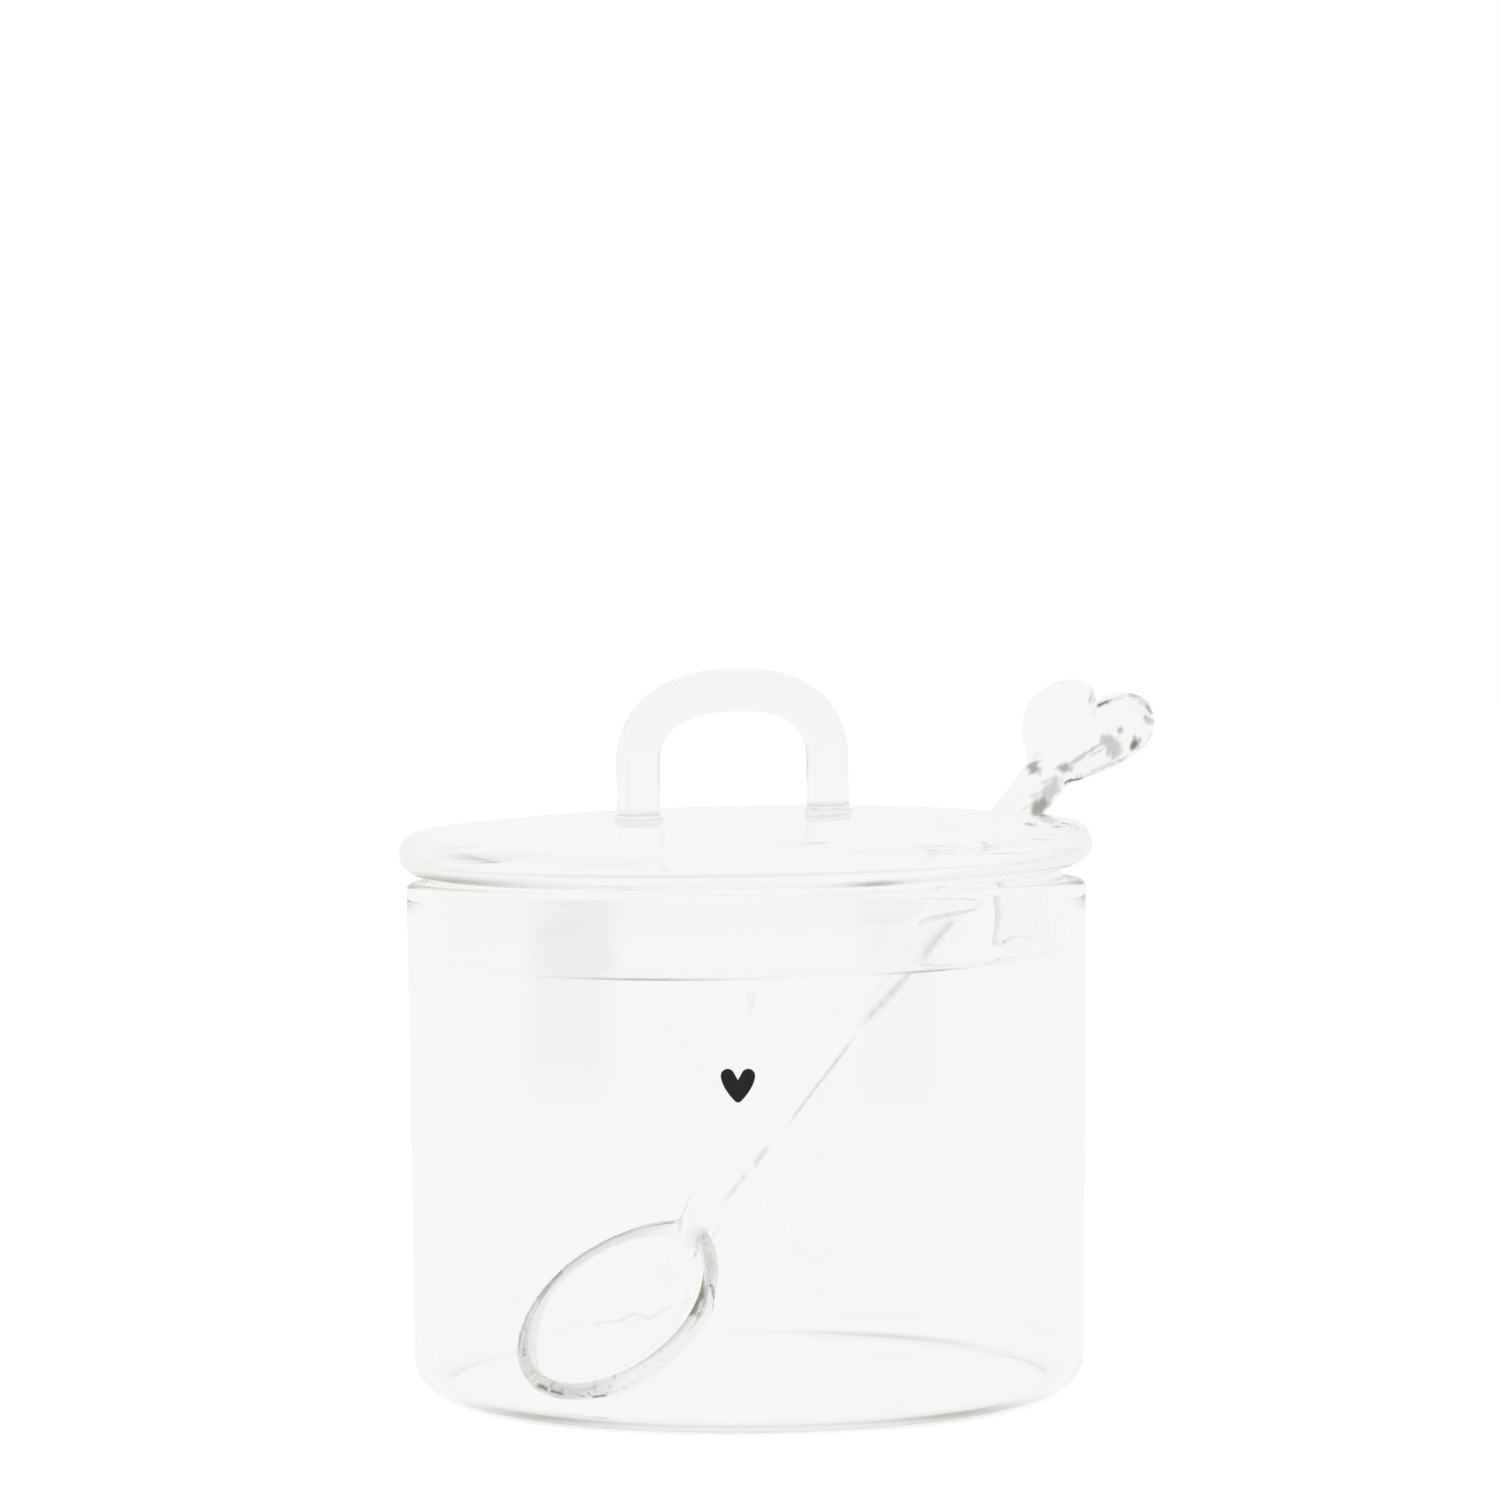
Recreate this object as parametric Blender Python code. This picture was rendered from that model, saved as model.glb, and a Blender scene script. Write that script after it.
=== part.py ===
# Glass sugar bowl with a lift-off lid and a leaning glass spoon.
# Units are metres, +Z is up, the origin is the centre of the base and the front faces -Y.
import math

import bmesh
import bpy
import numpy as np
from mathutils import Matrix

# Space left between two pieces that rest on or are welded to each other.
GAP = 0.0003

# Bowl.
BOWL_RADIUS = 0.0500
BOWL_TAPER = 0.0007
BOWL_HEIGHT = 0.0745
BOWL_WALL = 0.0022
BOWL_FLOOR = 0.0013
BOWL_CORNER = 0.0052
BOWL_INNER_CORNER = 0.0038

# Printed heart on the front of the bowl.
PRINT_WIDTH = 0.0049
PRINT_HEIGHT = 0.0047
PRINT_THICKNESS = 0.0004
PRINT_TIP_HALF_WIDTH = 0.0001
PRINT_SIDE_OFFSET = -0.0013
PRINT_CENTRE_HEIGHT = 0.0484

# Lid disc, its rounded edge and the ring below it.
LID_OVERHANG = 0.0010
LID_EDGE_THICKNESS = 0.0060
LID_EDGE_ROUND = 0.0030
LID_DOME_RISE = 0.0026
LID_PLATE_THICKNESS = 0.0032
LID_LANDING_WIDTH = 0.0012
LID_LANDING_SLOPE_WIDTH = 0.0030
LID_TILT = math.radians(1.8)
LID_TILT_AZIMUTH = math.radians(68.0)
SKIRT_CLEARANCE = 0.0012
SKIRT_WALL = 0.0020
SKIRT_DEPTH = 0.0122

# Handle on the lid.
HANDLE_ROD_RADIUS = 0.0032
HANDLE_FOOT_SPACING = 0.0320
HANDLE_HEIGHT = 0.0205
HANDLE_ARCH_RISE = 0.0106
HANDLE_FOOT_FLARE = 0.0008
HANDLE_FLARE_HEIGHT = 0.0022
HANDLE_TURN = math.radians(32.0)
HANDLE_SIDE_OFFSET = -0.0017

# Spoon.
STEM_LENGTH = 0.0955
STEM_NECK_RADIUS = 0.0031
STEM_TOP_RADIUS = 0.0036
SCOOP_LENGTH = 0.0354
SCOOP_WIDTH = 0.0272
SCOOP_DEPTH = 0.0081
SCOOP_WALL = 0.0023
SCOOP_PINCH = 0.26
SCOOP_BEND = math.radians(4.5)
SCOOP_WALL_DISTANCE = 0.0061
SPOON_AZIMUTH = math.radians(40.2)
SPOON_SIDE_OFFSET = -0.0030
SPOON_ROLL = math.radians(16.0)
HEART_WIDTH = 0.0226
HEART_HEIGHT = 0.0186
HEART_THICKNESS = 0.0054
HEART_EDGE_ROUND = 0.0026
HEART_CLEFT = 2.5

# Notch in the lid that the stem passes through, closer to the stem on its right side.
NOTCH_NEAR_CLEARANCE = 0.0006
NOTCH_FAR_CLEARANCE = 0.0041
NOTCH_END_CLEARANCE = 0.0004

# Smoothness of the round pieces.
TURN_STEPS = 60
ARC_STEPS = 5
RIM_STEPS = 6
HANDLE_STEPS = 24
HANDLE_ROUNDNESS = 6
SCOOP_STEPS = 36
STEM_STEPS = 20
HEART_STEPS = 40
HEART_EDGE_STEPS = 6
NOTCH_STEPS = 12

# Edges sharper than this stay crisp in shading.
SHARP_ANGLE = math.radians(40.0)

# Slopes between which the spoon's resting slope is sought.
SLOPE_LOW = math.radians(15.0)
SLOPE_HIGH = math.radians(80.0)
SEARCH_STEPS = 60

# Finishes.
GLASS_COLOUR = (0.90, 0.93, 0.91, 1.0)
GLASS_ROUGHNESS = 0.05
PRINT_COLOUR = (0.02, 0.02, 0.02, 1.0)
PRINT_ROUGHNESS = 0.35


def clear_scene():
    for item in list(bpy.data.objects):
        bpy.data.objects.remove(item, do_unlink=True)


def glass(name):
    return surface(name, GLASS_COLOUR, GLASS_ROUGHNESS, 1.0)


def surface(name, colour, roughness, transmission):
    material = bpy.data.materials.new(name)
    material.use_nodes = True
    shader = material.node_tree.nodes["Principled BSDF"]
    shader.inputs["Base Color"].default_value = colour
    shader.inputs["Roughness"].default_value = roughness
    shader.inputs["Metallic"].default_value = 0.0
    shader.inputs["Transmission Weight"].default_value = transmission
    return material


def place(name, data, material, parent=None):
    item = bpy.data.objects.new(name, data)
    bpy.context.scene.collection.objects.link(item)
    item.parent = parent
    if material is not None:
        data.materials.append(material)
    return item


def guide(name, location, rotation):
    empty = bpy.data.objects.new(name, None)
    bpy.context.scene.collection.objects.link(empty)
    empty.location = location
    empty.rotation_euler = rotation
    return empty


def skin(name, rings, first="cap", last="cap"):
    # Joins rings of points into one closed surface. An end is capped with a face,
    # drawn together to a point, or both ends are joined to each other ("loop").
    mesh = bpy.data.meshes.new(name)
    bm = bmesh.new()
    rows = []
    for index, ring in enumerate(rings):
        to_point = (index == 0 and first == "point") or (index == len(rings) - 1 and last == "point")
        if to_point:
            rows.append([bm.verts.new(ring[0])])
        else:
            rows.append([bm.verts.new(point) for point in ring])
    pairs = list(zip(rows[:-1], rows[1:]))
    if first == "loop":
        pairs.append((rows[-1], rows[0]))
    for low, high in pairs:
        count = max(len(low), len(high))
        for index in range(count):
            after = (index + 1) % count
            corners = [low[index % len(low)], low[after % len(low)]]
            corners += [high[after % len(high)], high[index % len(high)]]
            bm.faces.new(list(dict.fromkeys(corners)))
    if first == "cap":
        bm.faces.new(rows[0])
    if last == "cap":
        bm.faces.new(rows[-1])
    bmesh.ops.recalc_face_normals(bm, faces=bm.faces)
    bmesh.ops.triangulate(bm, faces=[face for face in bm.faces if len(face.verts) > 4])
    bm.to_mesh(mesh)
    bm.free()
    mesh.shade_smooth()
    mesh.set_sharp_from_angle(angle=SHARP_ANGLE)
    return mesh


def arc(centre_r, centre_z, radius, start, end, steps):
    angles = [start + (end - start) * index / steps for index in range(steps + 1)]
    return [(centre_r + radius * math.cos(a), centre_z + radius * math.sin(a)) for a in angles]


def turned(profile, steps=TURN_STEPS):
    # Carries a profile of (radius, height) points once around Z.
    rings = []
    for radius, height in profile:
        ring = []
        for index in range(steps):
            angle = 2.0 * math.pi * index / steps
            ring.append((radius * math.cos(angle), radius * math.sin(angle), height))
        rings.append(ring)
    return rings


def bowl_inner_foot():
    return BOWL_RADIUS - BOWL_TAPER - BOWL_WALL


def make_bowl():
    foot = BOWL_RADIUS - BOWL_TAPER
    inner = bowl_inner_foot()
    rim = BOWL_WALL / 2.0
    quarter = math.pi / 2.0
    profile = [(0.0, 0.0)]
    profile += arc(foot - BOWL_CORNER, BOWL_CORNER, BOWL_CORNER, -quarter, 0.0, ARC_STEPS)
    profile += arc(BOWL_RADIUS - rim, BOWL_HEIGHT - rim, rim, 0.0, math.pi, RIM_STEPS)
    corner = BOWL_INNER_CORNER
    profile += arc(inner - corner, BOWL_FLOOR + corner, corner, 0.0, -quarter, ARC_STEPS)
    profile += [(0.0, BOWL_FLOOR)]
    mesh = skin("bowl_body", turned(profile), "point", "point")
    return place("bowl_body", mesh, glass("bowl_glass"))


def heart_half(width, height, base_half_width, steps):
    # Right half of a plain heart, from the cleft round the lobe to its base.
    # The base is a short flat edge at height 0, base_half_width to each side.
    # The usual heart curve: sine cubed across, four cosines along, with a deeper cleft.
    def curve(t):
        across = math.sin(t) ** 3
        along = 13.0 * math.cos(t) - 5.0 * math.cos(2.0 * t) - 2.0 * math.cos(3.0 * t) - math.cos(4.0 * t)
        if t < math.pi / 2.0:
            along -= HEART_CLEFT * (1.0 - math.sin(t)) ** 6
        return across, along

    low = math.pi / 2.0
    high = math.pi
    for _ in range(SEARCH_STEPS):
        middle = (low + high) / 2.0
        if curve(middle)[0] * width / 2.0 > base_half_width:
            low = middle
        else:
            high = middle
    points = [curve(low * index / steps) for index in range(steps + 1)]
    bottom = points[-1][1]
    top = max(point[1] for point in points)
    return [(p[0] * width / 2.0, (p[1] - bottom) / (top - bottom) * height) for p in points]


def heart_outline(width, height, base_half_width, steps):
    half = heart_half(width, height, base_half_width, steps)
    return half + [(-across, along) for across, along in reversed(half[1:])]


def make_print():
    outline = heart_outline(PRINT_WIDTH, PRINT_HEIGHT, PRINT_TIP_HALF_WIDTH, HEART_STEPS // 2)
    back = -(BOWL_RADIUS + GAP)
    rings = []
    for depth in (back, back - PRINT_THICKNESS):
        rings.append([(across, depth, along - PRINT_HEIGHT / 2.0) for across, along in outline])
    mesh = skin("heart_print", rings)
    item = place("heart_print", mesh, surface("print_black", PRINT_COLOUR, PRINT_ROUGHNESS, 0.0))
    item.location = (PRINT_SIDE_OFFSET, 0.0, PRINT_CENTRE_HEIGHT)
    return item


def lid_radius():
    return BOWL_RADIUS + LID_OVERHANG


def skirt_radius():
    return BOWL_RADIUS - BOWL_WALL - SKIRT_CLEARANCE


def lid_top(radius):
    # Height of the lid's upper face above its seat.
    flat = lid_radius() - LID_EDGE_ROUND
    return LID_EDGE_THICKNESS + LID_DOME_RISE * (1.0 - (radius / flat) ** 2)


def lid_seat_height():
    # The leaning lid touches the rim only at its low side.
    return BOWL_HEIGHT + GAP + (BOWL_RADIUS - BOWL_WALL / 2.0) * math.tan(LID_TILT)


def lid_lean():
    axis = (math.sin(LID_TILT_AZIMUTH), -math.cos(LID_TILT_AZIMUTH), 0.0)
    return Matrix.Rotation(LID_TILT, 3, axis).to_euler()


def notch_start(slope, distance, height):
    # Where the upper side of the stem meets the underside of the leaning lid.
    between = LID_TILT_AZIMUTH - SPOON_AZIMUTH
    climb = math.tan(LID_TILT) * math.cos(between)
    seat = lid_seat_height() + math.tan(LID_TILT) * math.sin(between) * SPOON_SIDE_OFFSET
    level = distance + (seat - height) / math.tan(slope) - STEM_TOP_RADIUS / math.sin(slope)
    return level / (1.0 - climb / math.tan(slope)) - NOTCH_END_CLEARANCE


def notch_cutter(parent, start):
    # An upright U-shaped block: rounded inner corners, open past the lid's edge.
    corner = STEM_TOP_RADIUS + NOTCH_NEAR_CLEARANCE
    near = SPOON_SIDE_OFFSET
    far = near + NOTCH_FAR_CLEARANCE - NOTCH_NEAR_CLEARANCE
    past = lid_radius() + corner
    plan = [(past, near - corner), (past, far + corner)]
    plan += arc(start + corner, far, corner, math.pi / 2.0, math.pi, NOTCH_STEPS)
    plan += arc(start + corner, near, corner, math.pi, 1.5 * math.pi, NOTCH_STEPS)
    low = -(SKIRT_DEPTH + corner)
    high = LID_EDGE_THICKNESS + LID_DOME_RISE + corner
    rings = [[(x, y, level) for x, y in plan] for level in (low, high)]
    item = place("notch_cutter", skin("notch_cutter", rings), None, parent)
    item.rotation_euler = (0.0, 0.0, SPOON_AZIMUTH)
    item.hide_render = True
    item.display_type = "WIRE"
    return item


def cut(item, cutter):
    modifier = item.modifiers.new("notch", "BOOLEAN")
    modifier.operation = "DIFFERENCE"
    modifier.solver = "EXACT"
    modifier.object = cutter


def make_lid_plate(parent, cutter):
    flat = lid_radius() - LID_EDGE_ROUND
    quarter = math.pi / 2.0
    profile = [(flat * index / ARC_STEPS, lid_top(flat * index / ARC_STEPS)) for index in range(ARC_STEPS)]
    profile += arc(flat, LID_EDGE_THICKNESS - LID_EDGE_ROUND, LID_EDGE_ROUND, quarter, 0.0, ARC_STEPS)
    profile += arc(flat, LID_EDGE_ROUND, LID_EDGE_ROUND, 0.0, -quarter, ARC_STEPS)
    landing = skirt_radius() - SKIRT_WALL - LID_LANDING_WIDTH
    ceiling = landing - LID_LANDING_SLOPE_WIDTH
    profile += [(landing, 0.0)]
    for index in range(ARC_STEPS, -1, -1):
        radius = ceiling * index / ARC_STEPS
        profile.append((radius, lid_top(radius) - LID_PLATE_THICKNESS))
    mesh = skin("lid_plate", turned(profile), "point", "point")
    item = place("lid_plate", mesh, glass("lid_plate_glass"), parent)
    cut(item, cutter)
    return item


def make_lid_skirt(parent, cutter):
    outer = skirt_radius()
    middle = outer - SKIRT_WALL / 2.0
    low = -GAP - SKIRT_DEPTH + SKIRT_WALL / 2.0
    profile = [(outer - SKIRT_WALL, -GAP), (outer, -GAP)]
    profile += arc(middle, low, SKIRT_WALL / 2.0, 0.0, -math.pi, RIM_STEPS)
    mesh = skin("lid_skirt", turned(profile), "loop", "loop")
    item = place("lid_skirt", mesh, glass("lid_skirt_glass"), parent)
    cut(item, cutter)
    return item


def make_handle(parent):
    # A round rod: upright legs, an elliptical arch between them, feet a little flared.
    reach = HANDLE_FOOT_SPACING / 2.0
    inner_edge = reach - HANDLE_ROD_RADIUS - HANDLE_FOOT_FLARE
    foot = lid_top(inner_edge - abs(HANDLE_SIDE_OFFSET)) + GAP
    spring = foot + HANDLE_HEIGHT - HANDLE_ROD_RADIUS - HANDLE_ARCH_RISE
    flare = 1.0 + HANDLE_FOOT_FLARE / HANDLE_ROD_RADIUS
    knee = foot + HANDLE_FLARE_HEIGHT
    path = [(-reach, foot, flare), (-reach, (foot + knee) / 2.0, (1.0 + flare) / 2.0), (-reach, knee, 1.0)]
    for index in range(HANDLE_STEPS + 1):
        angle = math.pi * index / HANDLE_STEPS
        path.append((-reach * math.cos(angle), spring + HANDLE_ARCH_RISE * math.sin(angle), 1.0))
    path += [(-x, z, thick) for x, z, thick in reversed(path[:3])]
    curve = bpy.data.curves.new("lid_handle", "CURVE")
    curve.dimensions = "3D"
    curve.bevel_depth = HANDLE_ROD_RADIUS
    curve.bevel_resolution = HANDLE_ROUNDNESS
    curve.use_fill_caps = True
    spline = curve.splines.new("POLY")
    spline.points.add(len(path) - 1)
    for point, (x, z, thick) in zip(spline.points, path):
        point.co = (x, 0.0, z, 1.0)
        point.radius = thick
    item = place("lid_handle", curve, glass("handle_glass"), parent)
    item.location = (HANDLE_SIDE_OFFSET, 0.0, 0.0)
    item.rotation_euler = (0.0, 0.0, HANDLE_TURN)
    return item


def scoop_rings():
    # Oval cup pinched towards the neck, lying along -X from the neck at the origin.
    # Rings run from the bottom of the outside, over the round rim, to the inside's bottom.
    middle = -SCOOP_LENGTH / 2.0
    angles = [2.0 * math.pi * index / SCOOP_STEPS for index in range(SCOOP_STEPS)]
    egg = []
    for angle in angles:
        pinch = 1.0 - SCOOP_PINCH * ((1.0 + math.cos(angle)) / 2.0) ** 4
        egg.append((SCOOP_LENGTH / 2.0 * math.cos(angle), SCOOP_WIDTH / 2.0 * math.sin(angle) * pinch))

    def ring(inset, share, height):
        points = []
        for along, across in egg:
            size = math.hypot(along, across)
            scale = share * (size - inset) / size
            points.append((middle + along * scale, across * scale, height))
        return points

    rings = []
    for index in range(RIM_STEPS + 1):
        turn = math.pi / 2.0 * index / RIM_STEPS
        rings.append(ring(0.0, math.sin(turn), -SCOOP_DEPTH * math.cos(turn)))
    for index in range(1, RIM_STEPS):
        turn = math.pi * index / RIM_STEPS
        inset = SCOOP_WALL / 2.0 * (1.0 - math.cos(turn))
        rings.append(ring(inset, 1.0, SCOOP_WALL / 2.0 * math.sin(turn)))
    for index in range(RIM_STEPS, -1, -1):
        turn = math.pi / 2.0 * index / RIM_STEPS
        rings.append(ring(SCOOP_WALL, math.sin(turn), -(SCOOP_DEPTH - SCOOP_WALL) * math.cos(turn)))
    return rings


def stem_radius(along):
    return STEM_NECK_RADIUS + (STEM_TOP_RADIUS - STEM_NECK_RADIUS) * along / STEM_LENGTH


def spoon_rest():
    # The scoop stands on the bowl's floor, near its wall, and the stem leans on the rim.
    # The stem's upright plane passes beside the bowl's middle by the side offset.
    # Returns the slope of the stem and the neck's distance along the azimuth and height.
    points = np.array([point for ring in scoop_rings() for point in ring])
    along = points[:, 0] * math.cos(SCOOP_BEND) + points[:, 2] * math.sin(SCOOP_BEND)
    straight = -points[:, 0] * math.sin(SCOOP_BEND) + points[:, 2] * math.cos(SCOOP_BEND)
    upward = points[:, 1] * math.sin(SPOON_ROLL) + straight * math.cos(SPOON_ROLL)
    rim = BOWL_WALL / 2.0
    rim_crossing = math.sqrt((BOWL_RADIUS - rim) ** 2 - SPOON_SIDE_OFFSET ** 2)
    low = SLOPE_LOW
    high = SLOPE_HIGH
    for _ in range(SEARCH_STEPS):
        slope = (low + high) / 2.0
        level = along * math.sin(slope) + upward * math.cos(slope)
        reach = along * math.cos(slope) - upward * math.sin(slope)
        height = BOWL_FLOOR + GAP - level.min()
        distance = -(bowl_inner_foot() - SCOOP_WALL_DISTANCE) - reach.min()
        out = rim_crossing - distance
        up = BOWL_HEIGHT - rim - height
        away = out * math.sin(slope) - up * math.cos(slope)
        beside = out * math.cos(slope) + up * math.sin(slope)
        if away > stem_radius(beside) + rim + GAP:
            high = slope
        else:
            low = slope
    return slope, distance, height


def make_scoop(parent):
    mesh = skin("spoon_bowl", scoop_rings(), "point", "point")
    item = place("spoon_bowl", mesh, glass("scoop_glass"), parent)
    item.rotation_euler = (0.0, SCOOP_BEND, 0.0)
    return item


def make_stem(parent):
    rings = []
    for along in (0.0, STEM_LENGTH):
        radius = stem_radius(along)
        ring = []
        for index in range(STEM_STEPS):
            angle = 2.0 * math.pi * index / STEM_STEPS
            ring.append((GAP + along, radius * math.cos(angle), radius * math.sin(angle)))
        rings.append(ring)
    return place("spoon_stem", skin("spoon_stem", rings), glass("stem_glass"), parent)


def make_heart(parent):
    # A flat heart with round edges, standing on the stem's upper end.
    outline = heart_outline(HEART_WIDTH, HEART_HEIGHT, STEM_TOP_RADIUS, HEART_STEPS // 2)
    centre = HEART_HEIGHT / 2.0
    rings = []
    for index in range(HEART_EDGE_STEPS + 1):
        turn = math.pi * (index / HEART_EDGE_STEPS - 0.5)
        scale = 1.0 - HEART_EDGE_ROUND * (1.0 - math.cos(turn)) / (HEART_WIDTH / 2.0)
        level = HEART_THICKNESS / 2.0 * math.sin(turn)
        rings.append([(centre + (along - centre) * scale, across * scale, level) for across, along in outline])
    item = place("spoon_heart", skin("spoon_heart", rings), glass("heart_glass"), parent)
    item.location = (STEM_LENGTH + 2.0 * GAP, 0.0, 0.0)
    return item


def main():
    clear_scene()
    make_bowl()
    make_print()

    slope, distance, height = spoon_rest()
    seat = lid_seat_height()
    lid_seat = guide("lid_seat", (0.0, 0.0, seat), lid_lean())
    cutter = notch_cutter(lid_seat, notch_start(slope, distance, height))
    make_lid_plate(lid_seat, cutter)
    make_lid_skirt(lid_seat, cutter)
    make_handle(lid_seat)

    across = distance * math.cos(SPOON_AZIMUTH) - SPOON_SIDE_OFFSET * math.sin(SPOON_AZIMUTH)
    behind = distance * math.sin(SPOON_AZIMUTH) + SPOON_SIDE_OFFSET * math.cos(SPOON_AZIMUTH)
    spoon_neck = guide("spoon_neck", (across, behind, height), (SPOON_ROLL, -slope, SPOON_AZIMUTH))
    make_scoop(spoon_neck)
    make_stem(spoon_neck)
    make_heart(spoon_neck)
    print("spoon slope %.2f deg, neck at %.2f mm, %.2f mm up" % (
        math.degrees(slope), distance * 1000.0, height * 1000.0))


main()
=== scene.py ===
import math

import bmesh
import bpy
import numpy as np
from mathutils import Euler, Matrix, Vector


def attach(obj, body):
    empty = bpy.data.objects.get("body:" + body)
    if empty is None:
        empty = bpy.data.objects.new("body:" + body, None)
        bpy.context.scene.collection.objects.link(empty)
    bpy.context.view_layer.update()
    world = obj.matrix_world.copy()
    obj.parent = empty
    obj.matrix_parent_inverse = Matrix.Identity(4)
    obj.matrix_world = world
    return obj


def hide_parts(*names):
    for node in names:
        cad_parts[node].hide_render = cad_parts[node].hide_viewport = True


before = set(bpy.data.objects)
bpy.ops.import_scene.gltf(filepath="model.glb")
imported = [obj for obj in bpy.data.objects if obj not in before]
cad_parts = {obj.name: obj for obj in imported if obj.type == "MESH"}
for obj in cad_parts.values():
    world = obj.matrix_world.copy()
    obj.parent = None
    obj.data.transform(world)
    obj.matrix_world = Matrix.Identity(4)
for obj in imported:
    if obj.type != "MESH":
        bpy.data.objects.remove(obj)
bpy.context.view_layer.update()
print("frame loaded,", len(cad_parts), "nodes")


def joinGrids(name, grids, merge=1.0e-6):
    # Each grid holds points in rows and columns; four neighbours make a face.
    # Points that fall together (seams, poles, shared edges) are merged.
    faces, start = [], 0
    for grid in grids:
        rows, columns = grid.shape[:2]
        ids = start + np.arange(rows * columns).reshape(rows, columns)
        quads = np.stack([ids[:-1, :-1], ids[:-1, 1:], ids[1:, 1:], ids[1:, :-1]], -1)
        faces.append(quads.reshape(-1, 4))
        start += rows * columns
    points = np.concatenate([grid.reshape(-1, 3) for grid in grids])
    mesh = bpy.data.meshes.new(name)
    mesh.from_pydata(points.tolist(), [], np.concatenate(faces).tolist())
    bm = bmesh.new()
    bm.from_mesh(mesh)
    bmesh.ops.remove_doubles(bm, verts=bm.verts, dist=merge)
    bmesh.ops.recalc_face_normals(bm, faces=bm.faces)
    bm.to_mesh(mesh)
    bm.free()
    return mesh


def placePiece(mesh, material, body, slotName, *nodes):
    # A finished mesh becomes a piece that rides on its body and stands for its nodes.
    mesh.shade_smooth()
    mesh.materials.clear()
    mesh.materials.append(material)
    piece = bpy.data.objects.new(mesh.name, mesh)
    bpy.context.scene.collection.objects.link(piece)
    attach(piece, body)
    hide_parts(*nodes)
    print(mesh.name, "made,", len(mesh.polygons), "faces")


def shaped(mesh, *steps):
    # Runs a few modifiers on a mesh and returns the result as a new mesh.
    item = bpy.data.objects.new("working", mesh)
    bpy.context.scene.collection.objects.link(item)
    for kind, settings in steps:
        modifier = item.modifiers.new(kind, kind)
        for key, value in settings.items():
            setattr(modifier, key, value)
    bpy.context.view_layer.update()
    result = bpy.data.meshes.new_from_object(item.evaluated_get(bpy.context.evaluated_depsgraph_get()))
    name = mesh.name
    bpy.data.objects.remove(item)
    bpy.data.meshes.remove(mesh)
    result.name = name
    return result


def pointsOf(mesh):
    # All points of a mesh as rows of x, y and z.
    points = np.empty(len(mesh.vertices) * 3)
    mesh.vertices.foreach_get("co", points)
    return points.reshape(-1, 3)


def setPaintedShade(mesh, amount):
    # Keeps, for each point, how much painted shade darkens the glass there.
    layer = mesh.attributes.new("fleck", "FLOAT", "POINT")
    layer.data.foreach_set("value", np.clip(amount, 0.0, 1.0).astype(np.float32))


def eased(value, start, end):
    # Nought before start, one after end, smooth between them.
    share = np.clip((value - start) / (end - start), 0.0, 1.0)
    return share * share * (3.0 - 2.0 * share)


def bellAt(value, middle, width):
    # One at the middle, falling off on both sides as a bell does.
    return np.exp(-((value - middle) / width) ** 2)


def turnedGrid(radius, height, columns):
    # A profile of radii and heights carried once around Z.
    angle = np.linspace(0.0, 2.0 * np.pi, columns + 1)
    return np.stack(np.broadcast_arrays(
        radius[:, None] * np.cos(angle), radius[:, None] * np.sin(angle), height[:, None]), -1)


def arcPoints(r, z, radius, first, last, count):
    # Points of a circle's arc round (r, z), between two angles in degrees.
    angle = np.radians(np.linspace(first, last, count))
    return r + radius * np.cos(angle), z + radius * np.sin(angle)


def noiseOf(nodes, links, place, scale, detail):
    # Cloudy noise over a piece's own coordinates.
    noise = nodes.new("ShaderNodeTexNoise")
    noise.inputs["Scale"].default_value = scale
    noise.inputs["Detail"].default_value = detail
    links.new(place, noise.inputs["Vector"])
    return noise.outputs["Fac"]


def bumpOf(nodes, links, height, strength, distance):
    # Tips the surface's normal by the slope of a height pattern.
    bump = nodes.new("ShaderNodeBump")
    bump.inputs["Strength"].default_value = strength
    bump.inputs["Distance"].default_value = distance
    links.new(height, bump.inputs["Height"])
    return bump.outputs["Normal"]


def toneBlend(nodes, links, share, first, second):
    # The first tone where the share is nought, the second where it is one.
    blend = nodes.new("ShaderNodeMix")
    blend.data_type = "RGBA"
    blend.inputs[6].default_value = (*first, 1.0)  # six, seven and two are the mix's colour sockets
    blend.inputs[7].default_value = (*second, 1.0)
    links.new(share, blend.inputs["Factor"])
    return blend.outputs[2]


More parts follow.
